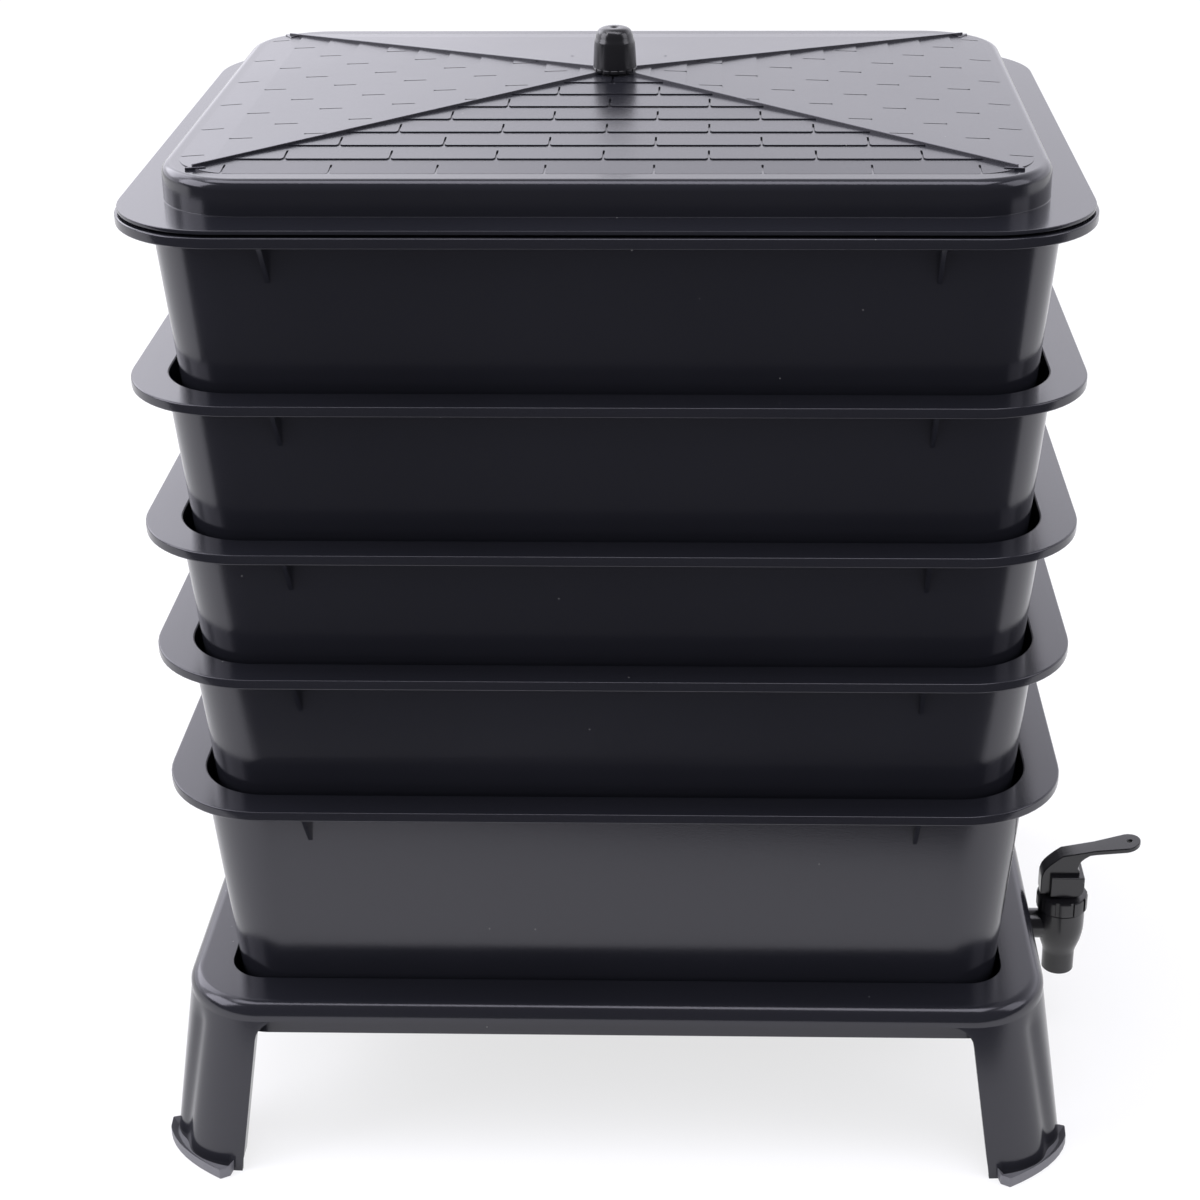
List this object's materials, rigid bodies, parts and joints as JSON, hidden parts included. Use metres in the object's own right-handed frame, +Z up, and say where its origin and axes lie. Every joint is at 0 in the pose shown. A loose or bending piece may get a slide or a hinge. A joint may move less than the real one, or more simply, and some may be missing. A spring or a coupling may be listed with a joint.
{
  "type": "stacking wormery",
  "caption": "Stacking wormery: footed stand with a sump and lever tap, nesting drained trays and a vented lid with a knob.",
  "frame": {"origin": "on the floor, under the middle of the stack of trays", "axes": "+Z up, +X towards the tap's side, -Y towards the front"},
  "size_m": [0.4878, 0.368, 0.5181],
  "materials": {
    "body_plastic": "satin",
    "gloss_plastic": "gloss",
    "rubber": "matte",
    "steel": "satin"
  },
  "bodies": {
    "stand": {"stand": "body_plastic", "tap_body": "gloss_plastic", "tap_bonnet": "gloss_plastic", "tap_outer_washer": "rubber", "tap_inner_washer": "rubber", "tap_nut": "gloss_plastic", "valve_spring": "steel"},
    "valve": {"valve_stem": "gloss_plastic", "valve_seal": "rubber", "lever_pin": "steel"},
    "lever": {"tap_lever": "gloss_plastic"},
    "tray_5": {"tray_5": "body_plastic"},
    "tray_4": {"tray_4": "body_plastic"},
    "tray_3": {"tray_3": "body_plastic"},
    "tray_2": {"tray_2": "body_plastic"},
    "tray_1": {"tray_1": "body_plastic"},
    "lid": {"lid": "body_plastic", "lid_knob": "gloss_plastic", "knob_screw": "steel"}
  },
  "joints": [
    {"name": "tray_5_lift", "type": "slide", "parent": "stand", "child": "tray_5", "axis": [0, 0, 1], "range_m": [0, 0.08]},
    {"name": "tray_4_lift", "type": "slide", "parent": "tray_5", "child": "tray_4", "axis": [0, 0, 1], "range_m": [0, 0.08]},
    {"name": "tray_3_lift", "type": "slide", "parent": "tray_4", "child": "tray_3", "axis": [0, 0, 1], "range_m": [0, 0.08]},
    {"name": "tray_2_lift", "type": "slide", "parent": "tray_3", "child": "tray_2", "axis": [0, 0, 1], "range_m": [0, 0.08]},
    {"name": "tray_1_lift", "type": "slide", "parent": "tray_2", "child": "tray_1", "axis": [0, 0, 1], "range_m": [0, 0.08]},
    {"name": "lid_lift", "type": "slide", "parent": "tray_1", "child": "lid", "axis": [0, 0, 1], "range_m": [0, 0.08]},
    {"name": "stem_lift", "type": "slide", "parent": "stand", "child": "valve", "axis": [0, 0, 1], "range_m": [0, 0.0026], "stiffness_N_per_m": 30, "springref_m": -0.006, "deforming": ["valve_spring"]},
    {"name": "lever_tilt", "type": "hinge", "parent": "valve", "child": "lever", "pos_m": [0.2283, -0.047, 0.0871], "axis": [0, 1, 0], "range_deg": [0, 28]}
  ],
  "couplings": [
    {"joint": "lever_tilt", "follows": "stem_lift", "rad_per_m": 186}
  ]
}
